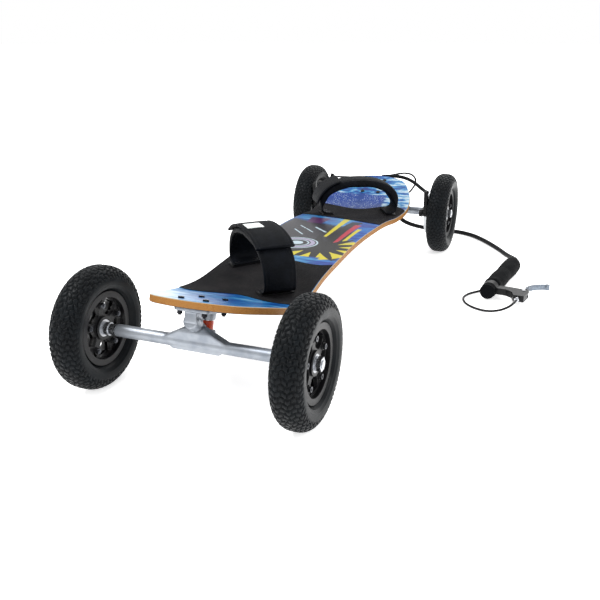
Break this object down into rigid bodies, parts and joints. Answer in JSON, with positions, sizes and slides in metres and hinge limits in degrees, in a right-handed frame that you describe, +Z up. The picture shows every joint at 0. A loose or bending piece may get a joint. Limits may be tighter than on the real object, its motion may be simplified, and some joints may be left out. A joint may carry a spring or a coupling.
{
  "type": "mountainboard with cable hand brake",
  "caption": "Arched plywood board on two sprung skate trucks and four large air tyres, with strap bindings and a lever on a cord that squeezes the rear brakes.",
  "frame": {"origin": "centre of the deck's level top face, at mid-length", "axes": "+Z up from the deck, +Y towards the tail along the board, +X to the rider's left when riding nose first; the ground is 142 mm below the origin"},
  "size_m": [0.6743, 1.2557, 0.2318],
  "materials": {
    "deck_wood": "bent maple plies with a printed, lacquered top",
    "grip": "gritty black grip sheet",
    "black_steel": "black oxide",
    "zinc_steel": "zinc plated",
    "cast_alloy": "satin, tumbled casting",
    "urethane": "translucent orange urethane",
    "tyre_rubber": "matt moulded rubber",
    "rim_plastic": "satin glass-filled nylon",
    "webbing": "padded woven strap",
    "binding_plastic": "satin",
    "brake_black": "satin black",
    "lever_alloy": "polished",
    "foam": "closed-cell foam",
    "sleeve": "braided sleeve",
    "housing": "satin cable housing"
  },
  "bodies": {
    "deck": {"deck": "deck_wood", "grip_tape": "grip", "truck_bolts": "black_steel", "truck_nuts": "zinc_steel", "baseplates": "cast_alloy", "pivot_cups": "rim_plastic", "kingpins": "black_steel", "kingpin_nuts": "zinc_steel", "bushing_washers": "zinc_steel", "front_bushings": "urethane", "rear_bushings": "urethane", "binding_plates": "binding_plastic", "binding_bolts": "black_steel", "binding_straps": "webbing", "binding_bands": "webbing", "leash_clip": "binding_plastic", "leash": "sleeve", "cable_loop": "housing", "handle_tube": "cast_alloy", "handle_grip": "foam", "handle_end_cap": "foam", "lever_clamp": "brake_black", "lever_pivot": "zinc_steel", "barrel_adjuster": "lever_alloy"},
    "front_hanger": {"front_hanger": "cast_alloy", "front_axle": "zinc_steel", "front_axle_hardware": "zinc_steel"},
    "rear_hanger": {"rear_hanger": "cast_alloy", "rear_axle": "zinc_steel", "rear_axle_hardware": "zinc_steel", "brake_brackets": "brake_black", "cross_cable": "housing", "brake_sleeve": "sleeve"},
    "brake_lever": {"brake_lever": "lever_alloy"},
    "front_left_wheel": {"front_left_tyre": "tyre_rubber", "front_left_rim_outer": "rim_plastic", "front_left_rim_inner": "rim_plastic", "front_left_bearings": "zinc_steel", "front_left_hub_bolts": "zinc_steel"},
    "front_right_wheel": {"front_right_tyre": "tyre_rubber", "front_right_rim_outer": "rim_plastic", "front_right_rim_inner": "rim_plastic", "front_right_bearings": "zinc_steel", "front_right_hub_bolts": "zinc_steel"},
    "rear_left_wheel": {"rear_left_tyre": "tyre_rubber", "rear_left_rim_outer": "rim_plastic", "rear_left_rim_inner": "rim_plastic", "rear_left_bearings": "zinc_steel", "rear_left_hub_bolts": "zinc_steel", "left_rotor": "zinc_steel"},
    "rear_right_wheel": {"rear_right_tyre": "tyre_rubber", "rear_right_rim_outer": "rim_plastic", "rear_right_rim_inner": "rim_plastic", "rear_right_bearings": "zinc_steel", "rear_right_hub_bolts": "zinc_steel", "right_rotor": "zinc_steel"},
    "left_arm_front": {"left_brake_arm_front": "brake_black"},
    "left_arm_back": {"left_brake_arm_back": "brake_black"},
    "right_arm_front": {"right_brake_arm_front": "brake_black"},
    "right_arm_back": {"right_brake_arm_back": "brake_black"}
  },
  "joints": [
    {"name": "front_truck_steer", "type": "hinge", "parent": "deck", "child": "front_hanger", "pos_m": [0, -0.45695, -0.03439], "axis": [0, -0.784, 0.6207], "range_deg": [-15, 15], "stiffness_Nm_per_rad": 90, "deforming": ["front_bushings"]},
    {"name": "rear_truck_steer", "type": "hinge", "parent": "deck", "child": "rear_hanger", "pos_m": [0, 0.45695, -0.03439], "axis": [0, 0.784, 0.6207], "range_deg": [-15, 15], "stiffness_Nm_per_rad": 90, "deforming": ["rear_bushings"]},
    {"name": "front_left_wheel_spin", "type": "hinge", "parent": "front_hanger", "child": "front_left_wheel", "pos_m": [0.179, -0.48586, -0.04234], "axis": [1, 0, 0], "continuous": true},
    {"name": "front_right_wheel_spin", "type": "hinge", "parent": "front_hanger", "child": "front_right_wheel", "pos_m": [-0.179, -0.48586, -0.04234], "axis": [1, 0, 0], "continuous": true},
    {"name": "rear_left_wheel_spin", "type": "hinge", "parent": "rear_hanger", "child": "rear_left_wheel", "pos_m": [0.179, 0.48586, -0.04234], "axis": [1, 0, 0], "continuous": true},
    {"name": "rear_right_wheel_spin", "type": "hinge", "parent": "rear_hanger", "child": "rear_right_wheel", "pos_m": [-0.179, 0.48586, -0.04234], "axis": [1, 0, 0], "continuous": true},
    {"name": "brake_lever_pull", "type": "hinge", "parent": "deck", "child": "brake_lever", "pos_m": [0.42082, 0.15751, -0.12234], "axis": [0, 0, 1], "range_deg": [0, 22], "stiffness_Nm_per_rad": 0.4, "springref_deg": -17.19},
    {"name": "left_arm_front_squeeze", "type": "hinge", "parent": "rear_hanger", "child": "left_arm_front", "pos_m": [0.1475, 0.42186, -0.03234], "axis": [-1, 0, 0], "range_deg": [0, 3.3]},
    {"name": "left_arm_back_squeeze", "type": "hinge", "parent": "rear_hanger", "child": "left_arm_back", "pos_m": [0.1475, 0.54986, -0.03234], "axis": [1, 0, 0], "range_deg": [0, 3.3]},
    {"name": "right_arm_front_squeeze", "type": "hinge", "parent": "rear_hanger", "child": "right_arm_front", "pos_m": [-0.1475, 0.42186, -0.03234], "axis": [-1, 0, 0], "range_deg": [0, 3.3]},
    {"name": "right_arm_back_squeeze", "type": "hinge", "parent": "rear_hanger", "child": "right_arm_back", "pos_m": [-0.1475, 0.54986, -0.03234], "axis": [1, 0, 0], "range_deg": [0, 3.3]}
  ],
  "couplings": [
    {"joint": "left_arm_front_squeeze", "follows": "brake_lever_pull", "ratio": 0.15},
    {"joint": "left_arm_back_squeeze", "follows": "brake_lever_pull", "ratio": 0.15},
    {"joint": "right_arm_front_squeeze", "follows": "brake_lever_pull", "ratio": 0.15},
    {"joint": "right_arm_back_squeeze", "follows": "brake_lever_pull", "ratio": 0.15}
  ]
}
